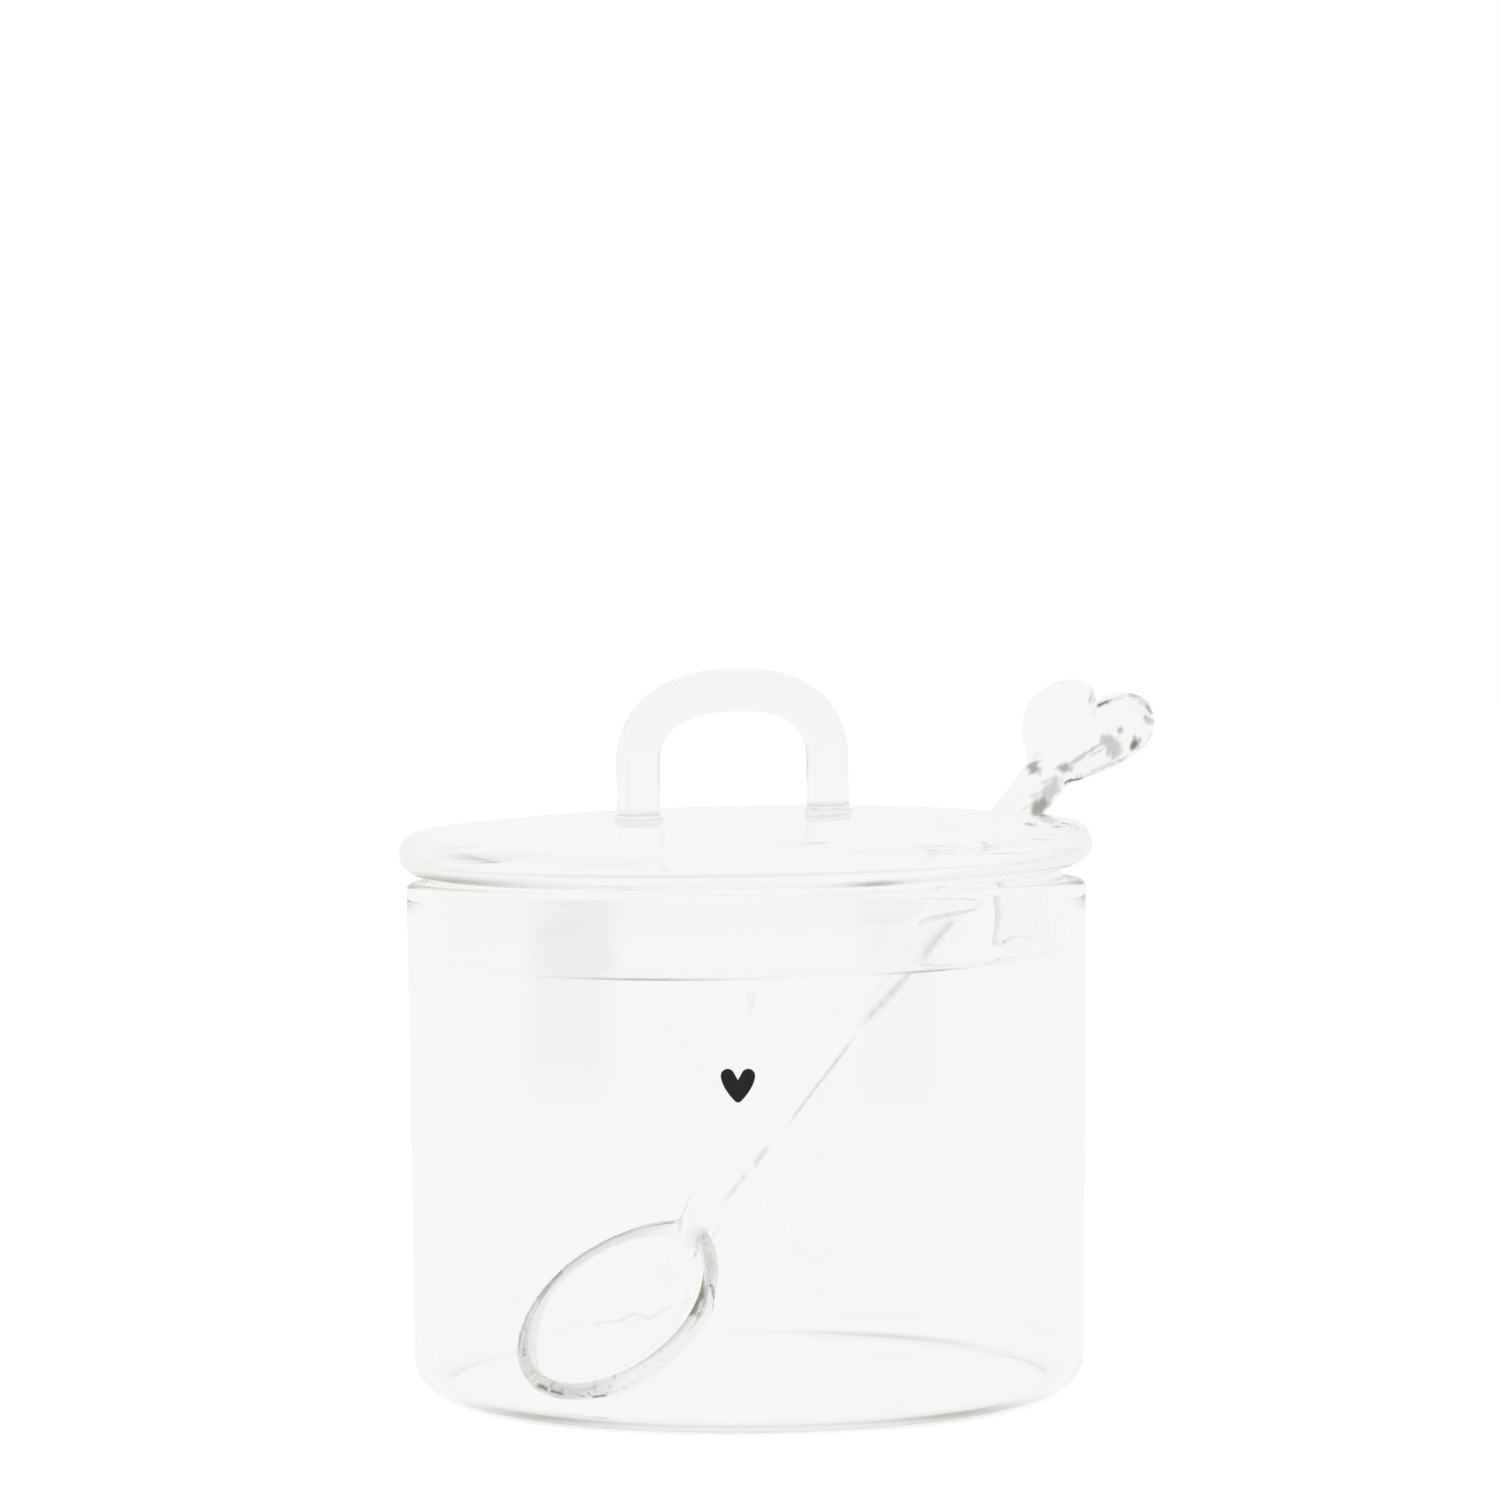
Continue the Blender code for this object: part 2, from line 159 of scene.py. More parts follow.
def mixedGlass(name, look):
    # Clear glass with faint waves and smudges, darkened where the piece's points carry painted shade.
    # Lamp rays pass straight through with a light tint, so the floor's shadow stays soft.
    material = bpy.data.materials.new(name)
    material.use_nodes = True
    nodes, links = material.node_tree.nodes, material.node_tree.links
    glass = nodes["Principled BSDF"]
    glass.inputs["Transmission Weight"].default_value = 1.0
    glass.inputs["IOR"].default_value = look["ior"]
    # Painted shade kept on the points blends the glass's colour towards the dark tint.
    fleck = nodes.new("ShaderNodeAttribute")
    fleck.attribute_name = "fleck"
    paintedTone = toneBlend(nodes, links, fleck.outputs["Fac"], look["tint"], look["paintedShadeTint"])
    links.new(paintedTone, glass.inputs["Base Color"])
    place = nodes.new("ShaderNodeTexCoord").outputs["Object"]
    wave = noiseOf(nodes, links, place, look["waveScale"], look["waveDetail"])
    links.new(bumpOf(nodes, links, wave, look["waveStrength"], look["waveHeight"]), glass.inputs["Normal"])
    smudge = noiseOf(nodes, links, place, look["smudgeScale"], look["smudgeDetail"])
    rough = nodes.new("ShaderNodeMapRange")
    rough.inputs["From Min"].default_value = look["smudgeFrom"]
    rough.inputs["From Max"].default_value = look["smudgeFull"]
    rough.inputs["To Min"].default_value = 0.0
    rough.inputs["To Max"].default_value = look["smudge"]
    links.new(smudge, rough.inputs["Value"])
    links.new(rough.outputs["Result"], glass.inputs["Roughness"])
    path = nodes.new("ShaderNodeLightPath")
    clear = nodes.new("ShaderNodeBsdfTransparent")
    clear.inputs["Color"].default_value = (*look["shadow"], 1.0)
    mix = nodes.new("ShaderNodeMixShader")
    links.new(path.outputs["Is Shadow Ray"], mix.inputs["Fac"])
    links.new(glass.outputs["BSDF"], mix.inputs[1])
    links.new(clear.outputs["BSDF"], mix.inputs[2])
    links.new(mix.outputs["Shader"], nodes["Material Output"].inputs["Surface"])
    depth = nodes.new("ShaderNodeVolumeAbsorption")  # long ways through the glass turn a faint olive
    depth.inputs["Color"].default_value = (*look["depthTint"], 1.0)
    depth.inputs["Density"].default_value = look["depth"]
    links.new(depth.outputs["Volume"], nodes["Material Output"].inputs["Volume"])
    return material


def enamel(name, look):
    # Fired-on black print: nearly black with a faint unevenness in tone and gloss.
    material = bpy.data.materials.new(name)
    material.use_nodes = True
    nodes, links = material.node_tree.nodes, material.node_tree.links
    paint = nodes["Principled BSDF"]
    paint.inputs["Specular IOR Level"].default_value = look["gloss"]
    place = nodes.new("ShaderNodeTexCoord").outputs["Object"]
    grain = noiseOf(nodes, links, place, look["grainScale"], look["grainDetail"])
    tone = nodes.new("ShaderNodeValToRGB")
    tone.color_ramp.elements[0].color = (*look["dark"], 1.0)
    tone.color_ramp.elements[1].color = (*look["light"], 1.0)
    links.new(grain, tone.inputs["Fac"])
    links.new(tone.outputs["Color"], paint.inputs["Base Color"])
    rough = nodes.new("ShaderNodeMapRange")
    rough.inputs["To Min"].default_value = look["roughLow"]
    rough.inputs["To Max"].default_value = look["roughHigh"]
    links.new(grain, rough.inputs["Value"])
    links.new(rough.outputs["Result"], paint.inputs["Roughness"])
    links.new(bumpOf(nodes, links, grain, look["grainStrength"], look["grainHeight"]), paint.inputs["Normal"])
    return material


# The dark tint is the colour that painted shade turns the glass towards.
bowlLook = dict(tint=(1.0, 1.0, 1.0), paintedShadeTint=(0.16, 0.16, 0.11), shadow=(0.955, 0.96, 0.957), ior=1.47,
                waveScale=55.0, waveDetail=1.0, waveStrength=0.05, waveHeight=0.0004,
                smudgeScale=40.0, smudgeDetail=3.0, smudgeFrom=0.55, smudgeFull=0.80, smudge=0.004,
                depthTint=(0.5, 0.54, 0.3), depth=1.0)
lidLook = dict(bowlLook, waveScale=70.0, depth=0.2)
# The spoon's painted shade is darker, nearly black.
spoonLook = dict(bowlLook, waveScale=120.0, waveStrength=0.08, paintedShadeTint=(0.05, 0.05, 0.02))
printLook = dict(dark=(0.006, 0.006, 0.006), light=(0.012, 0.012, 0.012), roughLow=0.40, roughHigh=0.55,
                 grainScale=1500.0, grainDetail=4.0, grainStrength=0.2, grainHeight=0.00002, gloss=0.2)

bowlGlass = mixedGlass("bowlGlass", bowlLook)
lidGlass = mixedGlass("lidGlass", lidLook)
spoonGlass = mixedGlass("spoonGlass", spoonLook)
blackEnamel = enamel("blackEnamel", printLook)
print("finishes ready")


bowlForm = dict(radius=0.0500, taper=0.0007, height=0.0745, wall=0.0022, floor=0.0013, corner=0.0052,
                innerCorner=0.0038, bead=0.00122, beadReach=0.0016, hollow=0.0003, crowd=1.6, columns=512,
                rows=dict(base=14, corner=28, wall=24, rim=47, inside=34, innerCorner=22, floor=14),
                # The wall's sway and its waves: share, waves round the bowl, start, turn over the height.
                sway=0.00004, swayWaves=((1.0, 3.0, 0.4, 2.0), (0.6, 5.0, 1.7, -3.0)),
                # Painted olive shade on the foot where it stands: how dark, how much along the front, and
                # more at a few places (degrees round Z, width, share), between two levels and two radii.
                foot=0.85, frontShade=0.45, frontShadeFrom=0.004, frontShadeFull=0.030,
                footShadePlaces=((-130.0, 15.0, 0.6), (-50.0, 15.0, 0.6), (60.0, 21.0, 0.7)),
                footShadeLevels=(0.0012, 0.0002), footShadeReach=(0.0435, 0.0450))


def wallRadius(height):
    # Outer radius: straight wall that opens a little from the corner to the rim.
    f = bowlForm
    share = np.clip((height - f["corner"]) / (f["height"] - f["bead"] - f["corner"]), 0.0, 1.0)
    return f["radius"] - f["taper"] * (1.0 - share)


def bowlPaintedShade(x, y, z):
    # Painted olive shade on the thick corner on which the bowl stands: bells round Z, low down and outside.
    f = bowlForm
    around = np.degrees(np.arctan2(y, x))
    uneven = f["frontShade"] * eased(-y, f["frontShadeFrom"], f["frontShadeFull"])
    for angle, width, share in f["footShadePlaces"]:
        uneven = uneven + share * bellAt(around, angle, width)
    return f["foot"] * uneven * eased(z, *f["footShadeLevels"]) * eased(np.hypot(x, y), *f["footShadeReach"])


def makeBowl():
    # A turned profile: hollowed base, round corner, wall, rim bead, inner wall, inner corner, floor.
    # Around the bowl the radius sways by a few cosines, as a blown wall does.
    f, rows = bowlForm, bowlForm["rows"]
    flat = f["radius"] - f["taper"] - f["corner"]
    baseR = np.linspace(0.0, flat, rows["base"])
    baseZ = f["hollow"] * (1.0 - (baseR / flat) ** 2) ** 2
    cornerR, cornerZ = arcPoints(flat, f["corner"], f["corner"], -90.0, 0.0, rows["corner"])
    wallZ = np.linspace(f["corner"], f["height"] - f["bead"], rows["wall"])
    innerLow, innerHigh = f["floor"] + f["innerCorner"], f["height"] - f["bead"]
    rimR, rimZ = arcPoints(f["radius"] - f["bead"], innerHigh, f["bead"], 0.0, 180.0, rows["rim"])
    down = np.linspace(0.0, 1.0, rows["inside"]) ** f["crowd"]  # closer rows near the rim
    innerZ = innerHigh - (innerHigh - innerLow) * down
    swell = (2.0 * f["bead"] - f["wall"]) * bellAt(innerZ, innerHigh, f["beadReach"])
    innerR = wallRadius(innerZ) - f["wall"] - swell
    inCornerR, inCornerZ = arcPoints(innerR[-1] - f["innerCorner"], innerLow, f["innerCorner"],
                                     0.0, -90.0, rows["innerCorner"])
    floorR = np.linspace(inCornerR[-1], 0.0, rows["floor"])
    floorZ = f["floor"] + f["hollow"] * (1.0 - (floorR / floorR[0]) ** 2) ** 2
    radius = np.concatenate([baseR, cornerR[1:], wallRadius(wallZ[1:]), rimR[1:], innerR[1:],
                             inCornerR[1:], floorR[1:]])
    height = np.concatenate([baseZ, cornerZ[1:], wallZ[1:], rimZ[1:], innerZ[1:], inCornerZ[1:], floorZ[1:]])
    grid = turnedGrid(radius, height, f["columns"])
    angle = np.arctan2(grid[..., 1], grid[..., 0])
    climb = grid[..., 2] / f["height"]
    sway = sum(share * (np.cos(waves * angle + start + turn * climb) - 1.0)
               for share, waves, start, turn in f["swayWaves"])
    grid[..., :2] *= (1.0 + f["sway"] / f["radius"] * sway)[..., None]
    mesh = joinGrids("glassBowl", [grid])
    # The foot's painted olive shade darkens the glass's colour.
    setPaintedShade(mesh, bowlPaintedShade(*pointsOf(mesh).T))
    return mesh


placePiece(makeBowl(), bowlGlass, "bowl", "bowl_glass", "bowl_body")


printForm = dict(width=0.0047, height=0.0046, side=-0.0013, level=0.0484, lift=0.00001, thickness=0.00006,
                 lobe=0.40, cleft=0.33, tip=0.25, tipFrom=45.0, sideDrop=0.53, tipPull=0.33,
                 flankPoints=12, lobePoints=40, sidePoints=30, tipPoints=12, steps=13)


def heartCurve(turn, cleft):
    # The usual heart curve: sine cubed across, four cosines along, with a deeper cleft.
    across = np.sin(turn) ** 3
    along = 13.0 * np.cos(turn) - 5.0 * np.cos(2.0 * turn) - 2.0 * np.cos(3.0 * turn) - np.cos(4.0 * turn)
    along = along - cleft * np.where(np.cos(turn) > 0.0, (1.0 - np.abs(np.sin(turn))) ** 6, 0.0)
    return across, along


def cubicWay(share, first, pullA, pullB, last):
    # A cubic from the first value to the last, drawn by two values on the way.
    rest = 1.0 - share
    drawn = 3 * rest ** 2 * share * pullA + 3 * rest * share ** 2 * pullB
    return rest ** 3 * first + drawn + share ** 3 * last


def printOutline():
    # Half a heart in parts of its half width: a straight flank up from the cleft, a round lobe, a bowed side
    # (cubic from the lobe's outermost point to the tip) and the tip's round; the other half mirrors it.
    f = printForm
    lobeX, lobeY = 1.0 - f["lobe"], 1.0 - f["lobe"]
    reach = math.hypot(lobeX, lobeY - f["cleft"])
    flank = math.atan2(lobeY - f["cleft"], lobeX) + math.asin(f["lobe"] / reach)
    length = math.sqrt(reach * reach - f["lobe"] * f["lobe"]) * np.linspace(0.0, 1.0, f["flankPoints"])
    lobe = np.linspace(flank + np.pi / 2.0, 0.0, f["lobePoints"])
    share = np.linspace(0.0, 1.0, f["sidePoints"])[1:]
    tipTurn = math.radians(f["tipFrom"])
    tipX, tipY = f["tip"] * math.cos(tipTurn), f["tip"] - 1.0 - f["tip"] * math.sin(tipTurn)
    sideX = cubicWay(share, 1.0, 1.0, tipX + f["tipPull"], tipX)
    sideY = cubicWay(share, lobeY, lobeY - f["sideDrop"], tipY + f["tipPull"], tipY)
    end = np.linspace(-tipTurn, -np.pi / 2.0, f["tipPoints"])[1:]
    x = np.concatenate([length * math.cos(flank), lobeX + f["lobe"] * np.cos(lobe), sideX,
                        f["tip"] * np.cos(end)])
    y = np.concatenate([f["cleft"] + length * math.sin(flank), lobeY + f["lobe"] * np.sin(lobe), sideY,
                        f["tip"] - 1.0 + f["tip"] * np.sin(end)])
    x[0] = x[-1] = 0.0
    return np.concatenate([x, -x[::-1][1:]]), np.concatenate([y, y[::-1][1:]])


def makePrint():
    # The heart's outline drawn in from its middle in steps and laid round the bowl's wall,
    # with a top, an edge and a back.
    f = printForm
    steps = f["steps"]
    across, along = printOutline()
    across, along = across * f["width"] / 2.0, along * f["height"] / 2.0
    share = np.concatenate([np.linspace(0.0, 1.0, steps), np.linspace(1.0, 0.0, steps)])[:, None]
    lift = np.concatenate([np.full(steps, f["thickness"]), np.zeros(steps)])[:, None] + f["lift"]
    x = across * share + f["side"]
    z = along * share + f["level"]
    radius = wallRadius(z) + lift
    angle = -np.pi / 2.0 + x / radius
    return joinGrids("heartPrint", [np.stack([radius * np.cos(angle), radius * np.sin(angle), z], -1)])


placePiece(makePrint(), blackEnamel, "bowl", "print_black", "heart_print")


lidForm = dict(radius=0.0510, edge=0.0060, edgeRound=0.0030, rise=0.0026, dip=0.0015, dipWidth=0.022,
               plate=0.0032, slopeFrom=0.0400, slopeTo=0.0437, seat=0.076337, tilt=1.8, tiltTowards=68.0,
               skirtRadius=0.0466, skirtWall=0.0020, skirtLow=0.0125, weld=0.0008,
               notchTowards=40.2, notchStart=0.04014, notchNear=-0.0030, notchFar=0.0005, notchCorner=0.0042,
               notchReach=0.056, polish=0.0007, droop=0.0019, droopWidth=6.0, bow=3.0, bowPower=0.8,
               columns=256, hair=1.0e-9,  # the hair is a margin for comparing radii
               rows=dict(notch=400, notchStep=70, edge=37, weld=9, slope=16, middle=30, wall=22, end=12,
                         side=15, finer=6),
               # Each painted shade has its amount, bells (degrees round Z, width) and levels (from, full):
               # all round the seat where the lid rests, a wedge and a stroke on it, a thin line on the edge,
               # the ring's lip, its cut ends and the whole ring.
               shadeMarks=dict(outside=(0.0468, 0.0476), seat=0.03, seatLevels=(0.0026, 0.0004), dark=0.85,
                           wedge=(-147.0, 19.0), wedgeLevels=(0.0019, 0.0009),
                           stroke=(-69.0, 5.0), strokeLevels=(0.0012, 0.0004),
                           line=0.30, lineAt=(-100.0, 60.0), lineLevel=(0.0022, 0.0002),
                           lip=0.9, lipAt=((-108.0, 14.0), (-58.0, 8.0)), lipLevels=(0.0006, 0.0002),
                           cut=0.35, cutWidth=1.0, cutLevels=(0.0, -0.0008),
                           ring=0.012, ringLevels=(-0.0004, -0.0012)))


def lidDip(r):
    # How much the middle of the dome is flattened, by a bell.
    return lidForm["dip"] * bellAt(r, 0.0, lidForm["dipWidth"])


def lidTop(r):
    # A shallow dome, flattened in the middle by a bell, that runs smoothly into a round edge.
    f = lidForm
    flat = f["radius"] - f["edgeRound"]
    lean = math.atan(2.0 * f["rise"] / flat)
    join = flat + f["edgeRound"] * math.sin(lean)
    joinTop = f["edge"] - f["edgeRound"] * (1.0 - math.cos(lean))
    dome = joinTop + f["rise"] * ((join / flat) ** 2 - (r / flat) ** 2)
    edge = f["edge"] - f["edgeRound"] + np.sqrt(np.maximum(f["edgeRound"] ** 2 - (r - flat) ** 2, 0.0))
    return np.where(r <= join, dome - lidDip(r) + lidDip(join), edge)


def lidUnder(r):
    # The dome's underside, a soft slope down to the flat landing, and the lower half of the round edge.
    f = lidForm
    flat = f["radius"] - f["edgeRound"]
    inside = (lidTop(r) + lidDip(r) - f["plate"]) * (1.0 - eased(r, f["slopeFrom"], f["slopeTo"]))
    edge = f["edgeRound"] - np.sqrt(np.maximum(f["edgeRound"] ** 2 - (r - flat) ** 2, 0.0))
    return np.where(r < flat, inside, edge)


def notchHalf(side):
    # Half of the notch's outline, from the middle of its inner end to past the lid's edge:
    # a straight end, a round corner and a straight side. Gives distance, angle and the way into the notch.
    f = lidForm
    corner = f["notchCorner"] + f["polish"]
    x0 = f["notchStart"] - f["polish"]
    y0 = f["notchFar"] if side > 0 else f["notchNear"]
    count = f["rows"]["notch"]
    turn = np.linspace(0.0, np.pi / 2.0, count)
    x = np.concatenate([np.full(count, x0), x0 + corner * (1.0 - np.cos(turn)),
                        np.linspace(x0 + corner, f["notchReach"], count)])
    y = np.concatenate([np.linspace(0.0, y0, count), y0 + side * corner * np.sin(turn),
                        np.full(count, y0 + side * corner)])
    inX = np.concatenate([np.ones(count), np.cos(turn), np.zeros(count)])
    inY = np.concatenate([np.zeros(count), -side * np.sin(turn), np.full(count, -float(side))])
    return np.hypot(x, y), np.arctan2(y, x), inX, inY


def cutAngle(side, depth):
    # Angle of the notch's cut edge in the ring: straight above, bowing away from the notch further down.
    f = lidForm
    offset = f["notchFar"] if side > 0 else f["notchNear"]
    edge = math.asin((offset + side * (f["notchCorner"] + f["polish"])) / f["skirtRadius"])
    return edge + side * math.radians(f["bow"]) * np.sin(np.pi * depth ** f["bowPower"]) * depth


def droopedRing(grid):
    # Beside the notch the ring sags and its cut edge bows outwards, as glass does that was cut hot.
    f = lidForm
    x, y, z = np.moveaxis(grid, -1, 0)
    angle, size = np.arctan2(y, x), np.hypot(x, y)
    depth = np.clip(-z / f["skirtLow"], 0.0, 1.0)
    shift, sag = np.zeros_like(x), np.zeros_like(x)
    for side in (1.0, -1.0):
        edge = cutAngle(side, 0.0)
        near = bellAt(np.maximum(side * (angle - edge), 0.0), 0.0, math.radians(f["droopWidth"]))
        near = near * (side * angle > 0.0)
        shift = shift + near * (cutAngle(side, depth) - edge)
        sag = sag + near * f["droop"] * depth ** 2
    return np.stack([size * np.cos(angle + shift), size * np.sin(angle + shift), z - sag], -1)


def makeLidBody():
    # One turned profile (dome, round edge, seat, ring wall, soft ceiling) whose angle range shrinks
    # at the notch. The notch's two sides are grids over the profile's section, swollen to a quarter round
    # by their distance from its outline, like a fire-polished edge.
    f, rows = lidForm, lidForm["rows"]
    halves = {side: notchHalf(side) for side in (1, -1)}
    inner = f["notchStart"] - f["polish"]
    weldIn = f["skirtRadius"] - f["skirtWall"] - f["weld"]
    weldOut = f["skirtRadius"] + f["weld"]
    flat = f["radius"] - f["edgeRound"]
    picked = [halves[side][0][::rows["notchStep"]] for side in (1, -1)]
    picked += [flat + f["edgeRound"] * np.sin(np.linspace(0.0, np.pi / 2.0, rows["edge"]))]
    picked += [np.linspace(weldIn, weldOut, rows["weld"])]
    picked += [np.linspace(f["slopeFrom"], f["slopeTo"], rows["slope"])]
    picked += [[inner, f["radius"], weldIn, weldOut]]
    outer = np.unique(np.round(np.concatenate(picked), 5))  # to a hundredth of a millimetre
    outer = outer[(outer >= inner - f["hair"]) & (outer <= f["radius"])]
    middle = np.linspace(0.0, inner, rows["middle"])[:-1]
    topR = np.concatenate([middle, outer])

    # Levels of the ring wall: a weld fillet, the straight wall and a half-round lower end.
    half = f["skirtWall"] / 2.0
    weldTurn = np.radians(np.linspace(0.0, 90.0, rows["weld"]))
    endTurn = np.radians(np.linspace(0.0, 90.0, rows["end"]))
    straight = np.linspace(-f["weld"], half - f["skirtLow"], rows["wall"])[1:]
    levels = np.concatenate([-f["weld"] * (1.0 - np.cos(weldTurn)), straight,
                             half - f["skirtLow"] - half * np.sin(endTurn[1:])])
    reach = np.concatenate([half + f["weld"] * (1.0 - np.sin(weldTurn)), np.full(len(straight), half),
                            half * np.cos(endTurn[1:])])
    wallMiddle = f["skirtRadius"] - half

    seatR = outer[outer >= weldOut - f["hair"]][::-1][1:]
    underR = topR[topR <= weldIn + f["hair"]][::-1]
    radius = np.concatenate([topR, seatR, wallMiddle + reach[1:], (wallMiddle - reach)[::-1][1:], underR[1:]])
    height = np.concatenate([lidTop(topR), lidUnder(seatR), levels[1:], levels[::-1][1:],
                             lidUnder(underR[1:])])

    def edgeAngle(side, r):
        # Angle of one side of the notch at a radius, nought where the notch hasn't begun.
        return np.where(r > inner, np.interp(r, halves[side][0], halves[side][1]), 0.0)

    first = edgeAngle(1, radius)[:, None]
    last = 2.0 * np.pi + edgeAngle(-1, radius)[:, None]
    angle = first + (last - first) * np.linspace(0.0, 1.0, f["columns"] + 1)
    grids = [np.stack([radius[:, None] * np.cos(angle), radius[:, None] * np.sin(angle),
                       np.broadcast_to(height[:, None], angle.shape)], -1)]

    # Section of the profile beyond the notch's inner end, for the distance to its outline.
    outline = np.stack([radius, height], -1)[radius >= inner - f["hair"]]
    steps = np.linspace(0.0, 1.0, rows["finer"])[:-1, None]
    finer = (outline[:-1, None] + np.diff(outline, axis=0)[:, None] * steps).reshape(-1, 2)
    outlineR, outlineZ = np.concatenate([finer, outline[-1:]]).T

    share = 0.5 - 0.5 * np.cos(np.linspace(0.0, np.pi, rows["side"]))
    bottom = np.where((outer > weldIn) & (outer < weldOut), 0.0, lidUnder(outer))
    plateR = np.broadcast_to(outer[:, None], (len(outer), len(share)))
    plateZ = bottom[:, None] + (lidTop(outer) - bottom)[:, None] * share
    ringRow = outer[(outer >= weldIn - f["hair"]) & (outer <= weldOut + f["hair"])]
    across = (ringRow - weldIn) / (weldOut - weldIn) * 2.0 - 1.0
    ringR = wallMiddle + reach[:, None] * across
    ringZ = np.broadcast_to(levels[:, None], ringR.shape)
    for side in (1, -1):
        for r, z in ((plateR, plateZ), (ringR, ringZ)):
            away = np.sqrt(((r[..., None] - outlineR) ** 2 + (z[..., None] - outlineZ) ** 2).min(-1))
            swell = f["polish"] * np.sqrt(1.0 - (1.0 - np.minimum(1.0, away / f["polish"])) ** 2)
            turn = edgeAngle(side, r)
            inX = np.interp(r, halves[side][0], halves[side][2])
            inY = np.interp(r, halves[side][0], halves[side][3])
            grids.append(np.stack([r * np.cos(turn) + inX * swell, r * np.sin(turn) + inY * swell, z], -1))
    mesh = joinGrids("glassLid", [droopedRing(grid) for grid in grids])
    mesh.transform(Matrix.Rotation(math.radians(f["notchTowards"]), 4, "Z"))
    return mesh


handleForm = dict(rod=0.0032, reach=0.0164, foot=0.00790, height=0.02134, archRise=0.0106, full=2.35,
                  flare=0.0004, flareHeight=0.0007, flareDrop=0.0004, sink=0.0014, turn=32.0, side=-0.00152,
                  legRows=28, archRows=121, columns=96,
                  # Painted shade, by heights over the foot: the rod's flanks (a low amount, more at the top),
                  # rings round the feet (height, width, share), a streak inside (angle, width, four heights).
                  shadeMarks=dict(flanks=0.010, flanksTop=0.022, flankLevels=(0.0005, 0.0015),
                              topLevels=(0.006, 0.014), flankReach=(0.5, 0.9),
                              rings=0.45, near=(0.0052, 0.0040), nearLevels=(-0.0006, -0.0003),
                              ringsAt=((-0.0002, 0.00022, 1.0), (0.0005, 0.00018, 0.7)), streak=0.45,
                              streakAt=(-8.0, 16.0), streakLevels=(0.0030, 0.0055, 0.0090, 0.0115)))


def makeHandle():
    # A round rod along two upright legs and a full arch (a superellipse).
    # The feet flare a touch and sink into the disc.
    f = handleForm
    spring = f["foot"] + f["height"] - f["rod"] - f["archRise"]
    legZ = np.linspace(f["foot"] - f["sink"], spring, f["legRows"])
    arch = np.linspace(0.0, np.pi, f["archRows"])
    power = 2.0 / f["full"]  # a little squarer than an ellipse
    archX = -f["reach"] * np.sign(np.cos(arch)) * np.abs(np.cos(arch)) ** power
    archZ = spring + f["archRise"] * np.sin(arch) ** power
    x = np.concatenate([np.full_like(legZ, -f["reach"]), archX[1:-1], np.full_like(legZ, f["reach"])])
    z = np.concatenate([legZ, archZ[1:-1], legZ[::-1]])
    alongX, alongZ = np.gradient(x), np.gradient(z)
    size = np.hypot(alongX, alongZ)
    normalX, normalZ = alongZ / size, -alongX / size
    flareTop = f["foot"] - f["flareDrop"]
    rod = f["rod"] + f["flare"] * bellAt(np.maximum(z, flareTop), flareTop, f["flareHeight"])
    rod = np.pad(rod, 1)[:, None]
    x, z, normalX, normalZ = (np.pad(value, 1, "edge")[:, None] for value in (x, z, normalX, normalZ))
    turn = np.linspace(0.0, 2.0 * np.pi, f["columns"] + 1)
    grid = np.stack([x + rod * normalX * np.cos(turn), rod * np.sin(turn),
                     z + rod * normalZ * np.cos(turn)], -1)
    mesh = joinGrids("handleRod", [grid])
    turned = Matrix.Rotation(math.radians(f["turn"]), 4, "Z")
    mesh.transform(Matrix.Translation((f["side"], 0.0, 0.0)) @ turned)
    return mesh


def handlePaintedShade(x, y, z):
    # Painted shade: a faint tone on the rod's two flanks, two thin rings round each foot where it is
    # welded on, and a faint streak up the side that faces the other leg.
    f, g = handleForm, handleForm["shadeMarks"]
    turn = math.radians(f["turn"])
    over = z - f["foot"]
    rings = sum(share * bellAt(over, level, width) for level, width, share in g["ringsAt"])
    start, full, fading, end = g["streakLevels"]
    tall = eased(over, start, full) * eased(over, end, fading)
    flank = np.abs(y * math.cos(turn) - (x - f["side"]) * math.sin(turn)) / f["rod"]
    amount = g["flanks"] + g["flanksTop"] * eased(over, *g["topLevels"])
    amount = amount * eased(over, *g["flankLevels"]) * eased(flank, *g["flankReach"])
    for sign in (-1.0, 1.0):
        offX = x - f["side"] - sign * f["reach"] * math.cos(turn)
        offY = y - sign * f["reach"] * math.sin(turn)
        near = eased(np.hypot(offX, offY), *g["near"]) * eased(over, *g["nearLevels"])
        inside = tall * bellAt(np.degrees(np.arctan2(offY, -sign * offX)), *g["streakAt"])
        amount = np.maximum(amount, near * np.maximum(g["rings"] * rings, g["streak"] * inside))
    return amount


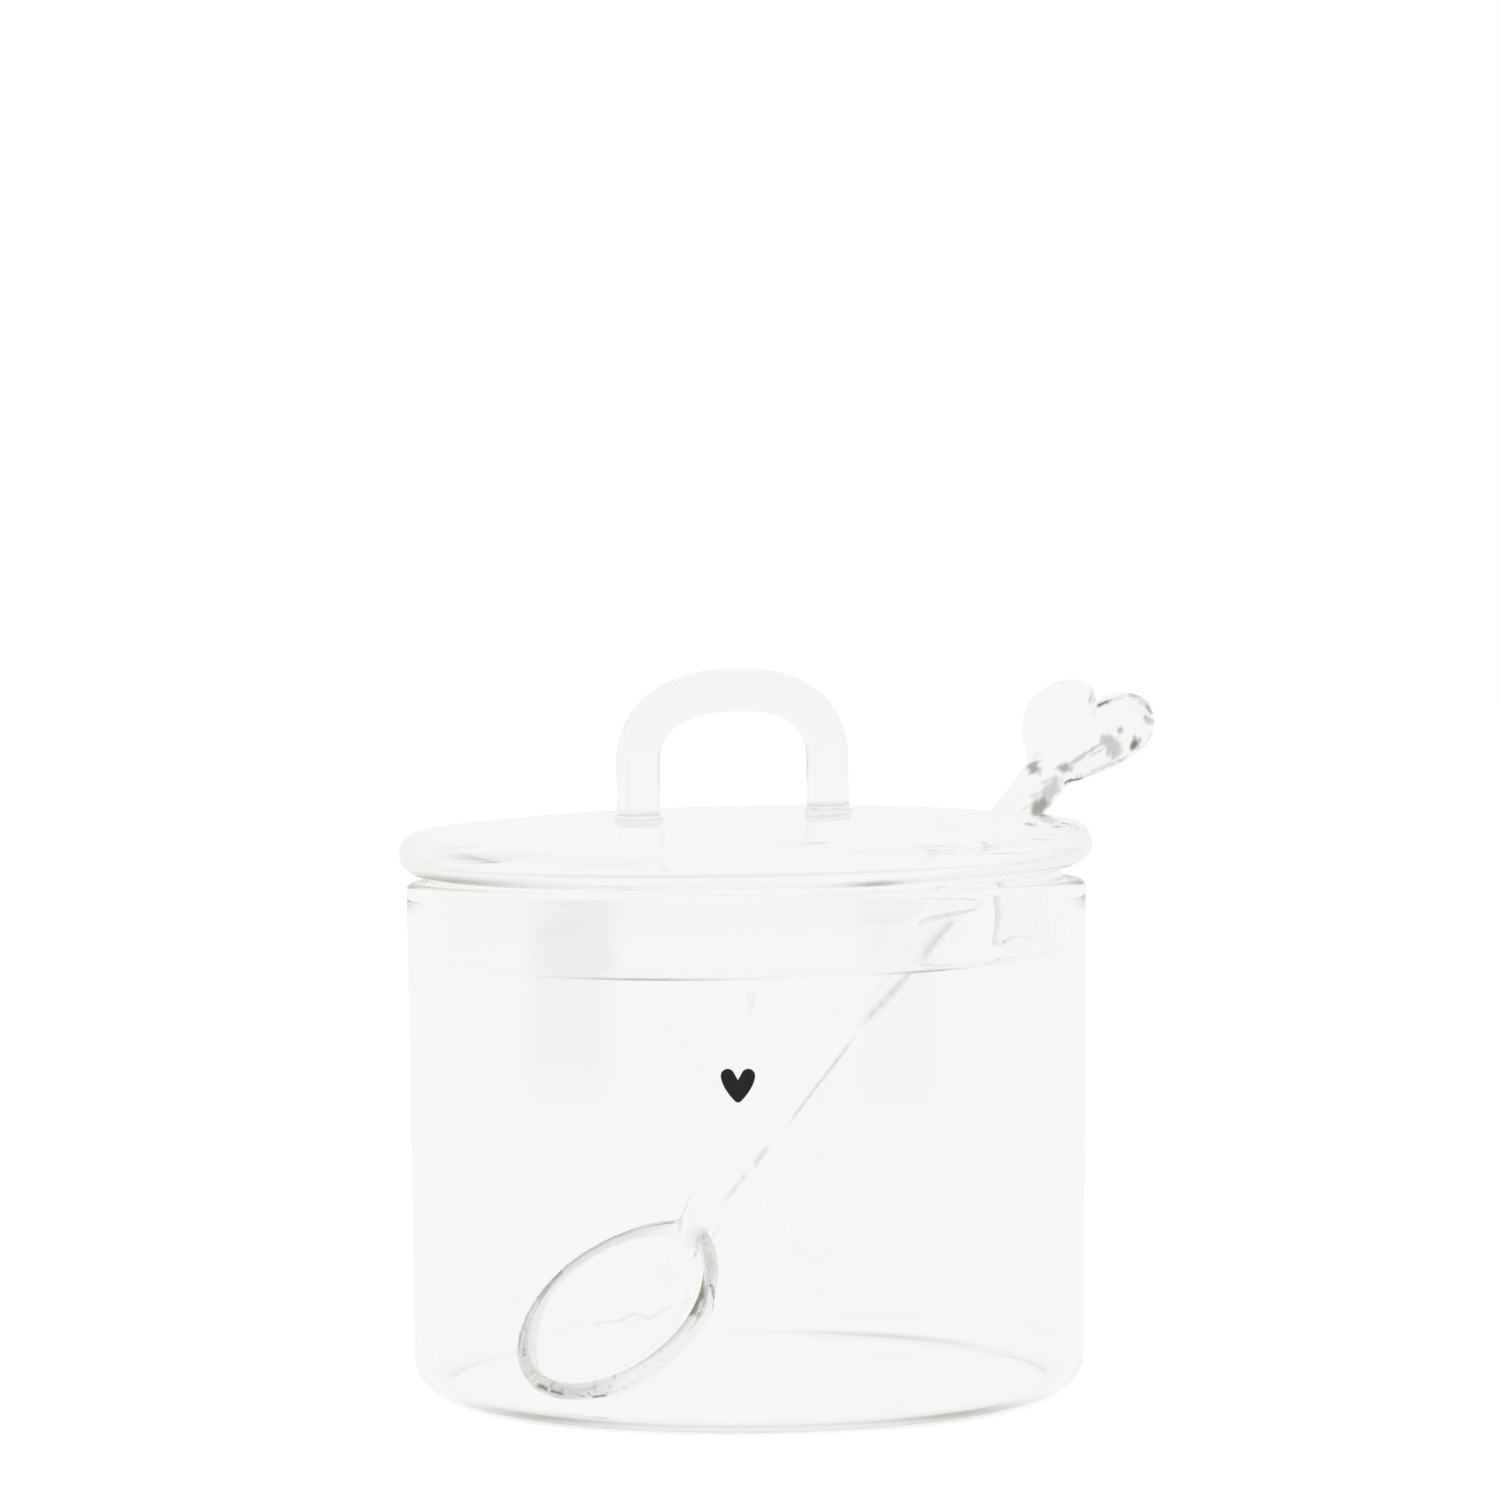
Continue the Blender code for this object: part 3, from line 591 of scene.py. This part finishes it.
def lidPaintedShade(x, y, z):
    # Each painted shade is its amount times a bell round Z times a smooth step in height.
    # The seat's painted shade lies outside the ring, where the lid sits on the bowl.
    f, g = lidForm, lidForm["shadeMarks"]
    around = np.degrees(np.arctan2(y, x))
    seat = g["seat"] + g["dark"] * bellAt(around, *g["wedge"]) * eased(z, *g["wedgeLevels"])
    seat = seat + g["dark"] * bellAt(around, *g["stroke"]) * eased(z, *g["strokeLevels"])
    line = g["line"] * bellAt(z, *g["lineLevel"]) * bellAt(around, *g["lineAt"])
    edge = eased(np.hypot(x, y), *g["outside"]) * (seat * eased(z, *g["seatLevels"]) + line)
    lip = g["lip"] * sum(bellAt(around, *place) for place in g["lipAt"])
    lip = lip * eased(z + f["skirtLow"], *g["lipLevels"])
    depth = np.clip(-z / f["skirtLow"], 0.0, 1.0)
    cut = np.zeros_like(x)
    for side in (1.0, -1.0):
        off = (around - f["notchTowards"] - np.degrees(cutAngle(side, depth)) + 180.0) % 360.0 - 180.0
        cut = np.maximum(cut, g["cut"] * bellAt(off, 0.0, g["cutWidth"]) * eased(z, *g["cutLevels"]))
    return edge + lip + cut + g["ring"] * eased(z, *g["ringLevels"])


def makeLid():
    # The handle is welded to the disc, then the lid leans and takes its seat.
    f = lidForm
    rod = bpy.data.objects.new("handleRod", makeHandle())
    bpy.context.scene.collection.objects.link(rod)
    mesh = shaped(makeLidBody(), ("BOOLEAN", dict(operation="UNION", solver="EXACT", object=rod)))
    bpy.data.objects.remove(rod)
    places = pointsOf(mesh).T
    # Painted shade on the lid's seat, ring and handle darkens the glass's colour.
    setPaintedShade(mesh, lidPaintedShade(*places) + handlePaintedShade(*places))
    towards = math.radians(f["tiltTowards"])
    lean = Matrix.Rotation(math.radians(f["tilt"]), 4, (math.sin(towards), -math.cos(towards), 0.0))
    mesh.transform(Matrix.Translation((0.0, 0.0, f["seat"])) @ lean)
    return mesh


placePiece(makeLid(), lidGlass, "lid", "lid_glass", "lid_plate", "lid_skirt", "lid_handle")


spoonForm = dict(neck=(-0.00761, -0.010358, 0.025091), slope=41.84, azimuth=40.2, roll=16.0,
                 stem=0.0955, neckRadius=0.0031, topRadius=0.0036,
                 uneven=((0.012, 420.0, 0.0), (0.010, 173.0, 1.0)),  # share, pace, start
                 length=0.0354, width=0.0272, depth=0.0081, wall=0.0023, pinch=0.26, bend=4.5,
                 thinShare=0.42, thinAt=70.0, thinWidth=50.0,
                 heartWidth=0.02256, heartHeight=0.01856, heartThickness=0.0054, heartRound=0.0026, cleft=2.5,
                 heartStart=0.0006, tongue=0.0115, tongueFrom=0.0030, tongueThin=0.70, tongueSink=0.0064,
                 rootFrom=0.0010, rootLength=0.0095, rootThin=0.65, voxel=0.00028, smooth=24,
                 rows=dict(scoop=30, rim=18, stem=260, edge=25, face=9),
                 columns=dict(scoop=160, stem=72, heart=240))
# Painted shade on the glass, in the spoon's own frame: dark rims, lines along the stem and strokes.
# Round the rim: degrees from the neck over the far side, amount, and the lowest level that it reaches there;
# on the near side its outer part stays clearer, and a few broken marks lie round the far end.
# Lines along the stem: from, to, angle round the rod, its drift, width, amount, how broken.
# Strokes from point to point: size, amount, then the points, in millimetres.
spoonForm["flecks"] = dict(
    rimAt=(0, 8, 40, 75, 100, 135, 170, 205, 232, 250, 285, 320, 334, 350, 360),
    rimDark=(0.0, 0.0, 0.34, 0.34, 0.20, 0.26, 0.33, 0.33, 0.50, 0.60, 0.42, 0.10, 0.26, 0.28, 0.0),
    rimFrom=(-0.0005, -0.0025), lowAt=(0, 20, 40, 95, 125, 360),
    low=(-0.0014, -0.0010, -0.0003, -0.0003, -0.0014, -0.0014), lowEdge=0.0005,
    clearer=0.8, clearReach=(0.89, 0.95), clearFrom=(205.0, 235.0), clearTo=(335.0, 315.0),
    marks=0.5, marksAt=(190.0, 48.0), marksCut=(0.55, 0.85), marksWaves=(0.9, 1.4, 0.23, 2600.0, 0.5),
    lineWaves=(1900.0, 2.0, 700.0),
    lineEnd=0.25, lines=((0.0030, 0.0112, 155.0, 0.0, 6.0, 0.40, 0.6),
                         (0.0110, 0.0158, 160.0, -4.0, 9.0, 0.38, 0.0),
                         (0.0190, 0.0395, 163.0, -6.0, 4.5, 0.60, 0.3),
                         (0.0385, 0.0560, 150.0, 26.0, 11.0, 0.45, 0.3),
                         (0.0550, 0.0670, 178.0, 6.0, 20.0, 0.42, 0.0)),
    ragged=0.35, raggedWaves=(2100.0, 1.7, 2600.0, 1700.0, 2300.0), strokeEdge=(1.5, 0.4),
    strokes=((1.0, 0.85, (94.0, 0.5, 3.5), (93.4, -0.2, 3.5)),
             (0.7, 0.15, (94.5, 1.0, 3.4), (97.5, 1.6, 3.3)),
             (1.6, 0.88, (87.6, -3.4, 0.4), (89.6, -3.4, 0.5)),
             (1.5, 0.6, (90.5, -3.4, 0.8), (93.0, -3.4, 0.9)),
             (0.8, 0.8, (96.2, -3.2, 1.8), (96.6, -3.5, 1.6)),
             (0.3, 0.6, (96.6, -3.6, 1.9), (102.6, -7.2, 2.6)),
             (0.4, 1.0, (95.3, -3.5, -0.5), (97.6, -4.5, -1.4)),
             (0.3, 0.5, (97.6, -4.6, -1.2), (103.5, -10.0, -0.6)),
             (1.2, 0.62, (103.2, -7.4, 2.6), (102.4, -9.2, 1.4)),
             (0.9, 1.0, (105.2, -10.7, 0.6), (105.4, -10.7, 0.6)),
             (0.5, 0.75, (105.5, -8.4, 2.7), (105.7, -8.4, 2.7)),
             (0.5, 1.0, (109.4, -1.9, 2.6), (110.4, -2.6, 2.5)),
             (0.4, 0.6, (110.6, -2.8, 2.4), (113.2, -5.4, 2.2), (113.2, -6.5, 2.0)),
             (0.8, 0.4, (113.2, -6.5, 2.0), (112.2, -9.3, 1.6)),
             (0.6, 0.8, (112.2, -9.3, 1.6), (112.0, -9.5, 1.5)),
             (0.9, 1.0, (-8.4, -8.0, 1.0), (-11.0, -9.8, 1.7), (-12.5, -10.8, 2.0), (-15.0, -11.6, 2.2)),
             (0.45, 0.9, (-9.6, -10.7, 1.5), (-10.8, -11.6, 0.4)),
             (0.45, 0.8, (-11.4, -11.7, -0.2), (-12.2, -11.7, -1.3)),
             (0.40, 1.0, (-34.9, 0.8, 3.4), (-34.9, -0.4, 3.4)),
             (0.45, 1.0, (-34.8, -1.6, 3.2), (-34.7, -3.0, 3.0)),
             (0.45, 1.0, (-32.6, -7.0, 1.9), (-31.8, -8.0, 1.6)),
             (0.40, 0.9, (-33.8, -4.8, 2.8), (-33.4, -5.6, 2.5)),
             (1.1, 0.35, (-1.6, -2.8, 1.1), (-4.5, -5.7, 1.3), (-6.7, -8.1, 1.4)),
             (0.22, 0.25, (-23.8, 8.5, -1.2), (-18.8, 5.7, -3.5), (-17.0, 3.5, -4.1), (-14.9, 2.3, -4.3),
              (-14.8, -0.5, -4.5), (-12.5, -1.7, -4.3), (-10.3, -5.7, -2.9))))


def scoopGrid():
    # An oval pinched towards the neck; from the outside's bottom up a quarter ellipse, over a half-round rim
    # and down inside. On the far side the wall is drawn thinner, by a bell round the oval.
    f = spoonForm
    turn = np.linspace(0.0, 2.0 * np.pi, f["columns"]["scoop"] + 1)
    along = f["length"] / 2.0 * np.cos(turn)
    across = f["width"] / 2.0 * np.sin(turn) * (1.0 - f["pinch"] * ((1.0 + np.cos(turn)) / 2.0) ** 4)
    size = np.hypot(along, across)
    up = np.linspace(0.0, np.pi / 2.0, f["rows"]["scoop"])
    over = np.linspace(0.0, np.pi, f["rows"]["rim"])[1:-1]
    share = np.concatenate([np.sin(up), np.ones_like(over), np.sin(up[::-1])])[:, None]
    wall = f["wall"] * (1.0 - f["thinShare"] * bellAt(np.degrees(turn), f["thinAt"], f["thinWidth"]))
    wall[-1] = wall[0]  # closes the seam
    inset = np.concatenate([np.zeros_like(up), 0.5 * (1.0 - np.cos(over)), np.ones_like(up)])[:, None] * wall
    level = np.concatenate([-f["depth"] * np.cos(up), f["wall"] / 2.0 * np.sin(over),
                            -(f["depth"] - f["wall"]) * np.cos(up[::-1])])[:, None]
    scale = share * (size - inset) / size
    x, y, z = -f["length"] / 2.0 + along * scale, across * scale, np.broadcast_to(level, scale.shape)
    bend = np.radians(f["bend"])
    return np.stack([x * np.cos(bend) + z * np.sin(bend), y, -x * np.sin(bend) + z * np.cos(bend)], -1)


def stemGrid():
    # A round rod, a little thicker upwards and slightly uneven by a few sines. Below, its end thins out
    # and sinks along the scoop's inside; above, it thins out inside the heart, so that both run into
    # the rod without an edge.
    f = spoonForm
    x = np.linspace(-f["tongue"], f["stem"] + f["rootLength"], f["rows"]["stem"])
    rod = f["neckRadius"] + (f["topRadius"] - f["neckRadius"]) * x / f["stem"]
    rod = rod * (1.0 + sum(size * np.sin(x * pace + start) for size, pace, start in f["uneven"]))
    low = eased(x, f["tongueFrom"], -f["tongue"])
    high = eased(x, f["stem"] + f["rootFrom"], f["stem"] + f["rootLength"])
    rod = rod * (1.0 - f["tongueThin"] * low) * (1.0 - f["rootThin"] * high)
    sink = -f["tongueSink"] * low + np.maximum(-x, 0.0) * math.tan(math.radians(f["bend"]))
    x, rod, sink = np.pad(x, 1, "edge"), np.pad(rod, 1), np.pad(sink, 1, "edge")
    turn = np.linspace(0.0, 2.0 * np.pi, f["columns"]["stem"] + 1)
    return np.stack(np.broadcast_arrays(x[:, None], rod[:, None] * np.cos(turn),
                                        sink[:, None] + rod[:, None] * np.sin(turn)), -1)


def heartGrid():
    # The heart's outline drawn in by a round edge towards both faces; each face is filled towards its middle.
    f = spoonForm
    turn = np.linspace(0.0, 2.0 * np.pi, f["columns"]["heart"] + 1)
    across, along = heartCurve(turn, f["cleft"])
    across = across * f["heartWidth"] / 2.0
    base = along[(np.abs(across) > f["topRadius"]) | (np.cos(turn) > 0.0)].min()
    along = np.maximum(along, base)
    along = (along - base) / (along.max() - base) * f["heartHeight"]
    middle = f["heartHeight"] / 2.0
    edge = np.linspace(-np.pi / 2.0, np.pi / 2.0, f["rows"]["edge"])
    drawn = 1.0 - f["heartRound"] * (1.0 - np.cos(edge)) / (f["heartWidth"] / 2.0)
    level = f["heartThickness"] / 2.0 * np.sin(edge)
    fill = np.linspace(0.0, 1.0, f["rows"]["face"])[:-1]
    scale = np.concatenate([fill * drawn[0], drawn, fill[::-1] * drawn[-1]])[:, None]
    level = np.pad(level, len(fill), "edge")[:, None]
    x = f["stem"] + f["heartStart"] + middle + (along - middle) * scale
    return np.stack([x, across * scale, np.broadcast_to(level, x.shape)], -1)


def spoonPaintedShade(points):
    # Painted shade, of three kinds.
    # Rim: by the turn round the oval and the closeness to its top, with marks where two sines meet high.
    # Lines: bells round the rod between two ends, broken up by a sine along it.
    # Strokes: by the distance from a chain of points, made ragged by a few sines.
    f, g = spoonForm, spoonForm["flecks"]
    x, y, z = points.T
    bend = math.radians(f["bend"])
    sx, sz = x * math.cos(bend) - z * math.sin(bend), x * math.sin(bend) + z * math.cos(bend)
    turn = np.degrees(np.arctan2(y / f["width"], (sx + f["length"] / 2.0) / f["length"])) % 360.0
    low = np.interp(turn, g["lowAt"], g["low"])
    rim = eased(sz, low, low + g["lowEdge"]) * eased(x, *g["rimFrom"])
    pace, swing, slow, climb, slant = g["marksWaves"]
    marks = np.sin(pace * turn + swing * np.sin(slow * turn)) * np.sin(climb * z + slant * turn)
    marks = eased(marks, *g["marksCut"]) * bellAt(turn, *g["marksAt"])
    reach = np.hypot(2.0 * (sx + f["length"] / 2.0) / f["length"], 2.0 * y / f["width"])
    outer = eased(reach, *g["clearReach"]) * eased(turn, *g["clearFrom"]) * eased(turn, *g["clearTo"])
    amount = np.interp(turn, g["rimAt"], g["rimDark"]) * (1.0 - g["clearer"] * outer)
    amount = rim * (amount + g["marks"] * marks)
    around = np.degrees(np.arctan2(z, y))
    pace, swing, slow = g["lineWaves"]
    for start, end, angle, drift, width, dark, broken in g["lines"]:
        share = (x - start) / (end - start)
        ends = eased(share, 0.0, g["lineEnd"]) * eased(share, 1.0, 1.0 - g["lineEnd"])
        wave = 1.0 - broken * (0.5 + 0.5 * np.sin(x * pace + swing * np.sin(x * slow)))
        off = (around - angle - drift * share + 180.0) % 360.0 - 180.0
        amount = np.maximum(amount, dark * wave * ends * bellAt(off, 0.0, width))
    pace, swing, slow, climb, slant = g["raggedWaves"]
    rough = np.sin(x * pace + swing * np.sin(y * slow)) * np.sin(y * climb + z * slant)
    rough = 1.0 + g["ragged"] * rough
    outer, inner = g["strokeEdge"]
    for size, dark, *places in g["strokes"]:
        for start, end in zip(places, places[1:]):
            start, end = np.array(start) / 1000.0, np.array(end) / 1000.0
            along = np.clip((points - start) @ (end - start) / ((end - start) @ (end - start)), 0.0, 1.0)
            away = np.linalg.norm(points - start - along[:, None] * (end - start), axis=1) * rough * 1000.0
            amount = np.maximum(amount, dark * eased(away, outer * size, inner * size))
    return amount


def makeSpoon():
    # Scoop, rod and heart are grown together and smoothed, then the spoon takes its leaning place.
    f = spoonForm
    mesh = joinGrids("glassSpoon", [scoopGrid(), stemGrid(), heartGrid()])
    mesh = shaped(mesh, ("REMESH", dict(mode="VOXEL", voxel_size=f["voxel"])),
                  ("SMOOTH", dict(factor=0.5, iterations=f["smooth"])))
    # Painted shade on the spoon darkens the glass's colour.
    setPaintedShade(mesh, spoonPaintedShade(pointsOf(mesh)))
    lean = Euler((math.radians(f["roll"]), -math.radians(f["slope"]), math.radians(f["azimuth"])))
    mesh.transform(Matrix.Translation(f["neck"]) @ lean.to_matrix().to_4x4())
    return mesh


placePiece(makeSpoon(), spoonGlass, "spoon", "spoon_glass", "spoon_bowl", "spoon_stem", "spoon_heart")


studio = dict(floorSize=30.0, floorRows=9, floorDrop=0.00005, floorTone=0.62, floorGlow=0.55,
              white=(1.0, 1.0, 1.0), glassTone=0.93, roomLevel=0.75,
              sunStrength=1.2, sunAngle=60.0, sunTurn=(25.0, -20.0, 0.0),
              bounces=400, clearBounces=32)  # many bounces, or the thick glass edges turn grey
# A dark card above and a dark mat on the floor, both front left and seen only in glass and gloss: heading,
# half-angles of the core and of the soft edge, tone; the mat starts at near and is full at far.
card = dict(towards=(-0.72, -0.48, 0.48), core=8.0, edge=26.0, tone=(0.55, 0.55, 0.48))
mat = dict(towards=(-0.867, -0.49, 0.0), core=10.0, edge=20.0, tone=(0.42, 0.42, 0.42), near=0.40, far=0.58)


def lightKinds(nodes, links):
    # One for rays that come from glass or a reflection, nought for the rest.
    path = nodes.new("ShaderNodeLightPath")
    either = nodes.new("ShaderNodeMath")
    either.operation = "MAXIMUM"
    links.new(path.outputs["Is Transmission Ray"], either.inputs[0])
    links.new(path.outputs["Is Glossy Ray"], either.inputs[1])
    return path, either.outputs["Value"]


def easedNode(nodes, links, value, low, high):
    # Nought below low, one above high, smooth between them.
    share = nodes.new("ShaderNodeMapRange")
    share.interpolation_type = "SMOOTHSTEP"
    share.inputs["From Min"].default_value = low
    share.inputs["From Max"].default_value = high
    links.new(value, share.inputs["Value"])
    return share.outputs["Result"]


def headingShare(nodes, links, heading, look):
    # One where the heading is within the core's half-angle of the look's own, nought beyond the edge's.
    turn = nodes.new("ShaderNodeVectorMath")
    turn.operation = "DOT_PRODUCT"
    turn.inputs[1].default_value = Vector(look["towards"]).normalized()
    links.new(heading, turn.inputs[0])
    low, high = (math.cos(math.radians(look[key])) for key in ("edge", "core"))
    return easedNode(nodes, links, turn.outputs["Value"], low, high)


def vectorNode(nodes, links, operation, value):
    # One step of vector arithmetic on a value, such as its length.
    node = nodes.new("ShaderNodeVectorMath")
    node.operation = operation
    links.new(value, node.inputs[0])
    return node


def makeFloor():
    # Plain and pale: it takes the object's shadow, and glass sees it evenly lit with the dark mat on it.
    size = studio["floorSize"]
    line = np.linspace(-size, size, studio["floorRows"])
    x, y = np.meshgrid(line, line, indexing="ij")
    mesh = joinGrids("floor", [np.stack([x, y, np.full_like(x, -studio["floorDrop"])], -1)])
    material = bpy.data.materials.new("paleFloor")
    material.use_nodes = True
    nodes, links = material.node_tree.nodes, material.node_tree.links
    nodes.remove(nodes["Principled BSDF"])
    paint = nodes.new("ShaderNodeBsdfDiffuse")
    paint.inputs["Color"].default_value = (studio["floorTone"],) * 3 + (1.0,)
    glow = nodes.new("ShaderNodeEmission")
    glow.inputs["Strength"].default_value = studio["floorGlow"]
    lit = nodes.new("ShaderNodeAddShader")
    links.new(paint.outputs["BSDF"], lit.inputs[0])
    links.new(glow.outputs["Emission"], lit.inputs[1])
    place = nodes.new("ShaderNodeTexCoord").outputs["Object"]
    heading = vectorNode(nodes, links, "NORMALIZE", place).outputs["Vector"]
    away = vectorNode(nodes, links, "LENGTH", place).outputs["Value"]
    covered = nodes.new("ShaderNodeMath")
    covered.operation = "MULTIPLY"
    links.new(headingShare(nodes, links, heading, mat), covered.inputs[0])
    links.new(easedNode(nodes, links, away, mat["near"], mat["far"]), covered.inputs[1])
    seen = nodes.new("ShaderNodeEmission")
    seen.inputs["Strength"].default_value = studio["glassTone"]
    tone = toneBlend(nodes, links, covered.outputs["Value"], studio["white"], mat["tone"])
    links.new(tone, seen.inputs["Color"])
    mix = nodes.new("ShaderNodeMixShader")
    links.new(lightKinds(nodes, links)[1], mix.inputs["Fac"])
    links.new(lit.outputs["Shader"], mix.inputs[1])
    links.new(seen.outputs["Emission"], mix.inputs[2])
    links.new(mix.outputs["Shader"], nodes["Material Output"].inputs["Surface"])
    mesh.materials.append(material)
    floor = bpy.data.objects.new("floor", mesh)
    bpy.context.scene.collection.objects.link(floor)


def makeRoom():
    # White to the camera, an even pale light on the floor, and white with the dark card to glass and gloss.
    world = bpy.data.worlds.new("whiteRoom")
    world.use_nodes = True
    nodes, links = world.node_tree.nodes, world.node_tree.links
    nodes.clear()
    white = nodes.new("ShaderNodeBackground")
    plain = nodes.new("ShaderNodeBackground")
    plain.inputs["Strength"].default_value = studio["roomLevel"]
    glass = nodes.new("ShaderNodeBackground")
    glass.inputs["Strength"].default_value = studio["glassTone"]
    for item in (white, plain):
        item.inputs["Color"].default_value = (*studio["white"], 1.0)
    heading = nodes.new("ShaderNodeTexCoord").outputs["Generated"]
    covered = headingShare(nodes, links, heading, card)
    links.new(toneBlend(nodes, links, covered, studio["white"], card["tone"]), glass.inputs["Color"])
    path, bounced = lightKinds(nodes, links)
    inner = nodes.new("ShaderNodeMixShader")
    links.new(bounced, inner.inputs["Fac"])
    links.new(plain.outputs["Background"], inner.inputs[1])
    links.new(glass.outputs["Background"], inner.inputs[2])
    outer = nodes.new("ShaderNodeMixShader")
    links.new(path.outputs["Is Camera Ray"], outer.inputs["Fac"])
    links.new(inner.outputs["Shader"], outer.inputs[1])
    links.new(white.outputs["Background"], outer.inputs[2])
    output = nodes.new("ShaderNodeOutputWorld")
    links.new(outer.outputs["Shader"], output.inputs["Surface"])
    bpy.context.scene.world = world


def makeLamp():
    # One broad soft lamp from above, which glass and gloss don't show.
    sun = bpy.data.lights.new("softLamp", "SUN")
    sun.energy = studio["sunStrength"]
    sun.angle = math.radians(studio["sunAngle"])
    lamp = bpy.data.objects.new("softLamp", sun)
    lamp.rotation_euler = [math.radians(angle) for angle in studio["sunTurn"]]
    lamp.visible_glossy = False
    lamp.visible_transmission = False
    bpy.context.scene.collection.objects.link(lamp)


cameraForm = dict(place=(0.0, -0.6628, 0.1023), down=0.76, yaw=-0.06, roll=-0.38, lens=108.0, sensor=36.0)


def makeCamera():
    # Stands where the photograph was taken, looks level but for a slight dip, and rolls a little.
    f = cameraForm
    data = bpy.data.cameras.new("camera")
    data.lens = f["lens"]
    data.sensor_width = f["sensor"]
    camera = bpy.data.objects.new("camera", data)
    look = Euler((math.radians(90.0 - f["down"]), 0.0, math.radians(f["yaw"]))).to_matrix().to_4x4()
    roll = Matrix.Rotation(math.radians(f["roll"]), 4, "Z")
    camera.matrix_world = Matrix.Translation(f["place"]) @ look @ roll
    bpy.context.scene.collection.objects.link(camera)
    bpy.context.scene.camera = camera


makeFloor()
makeRoom()
makeLamp()
makeCamera()
scene = bpy.context.scene
scene.view_settings.view_transform = "Standard"
scene.cycles.max_bounces = studio["bounces"]
scene.cycles.transmission_bounces = studio["bounces"]
scene.cycles.glossy_bounces = studio["bounces"]
scene.cycles.transparent_max_bounces = studio["clearBounces"]
print("room, light and camera ready")
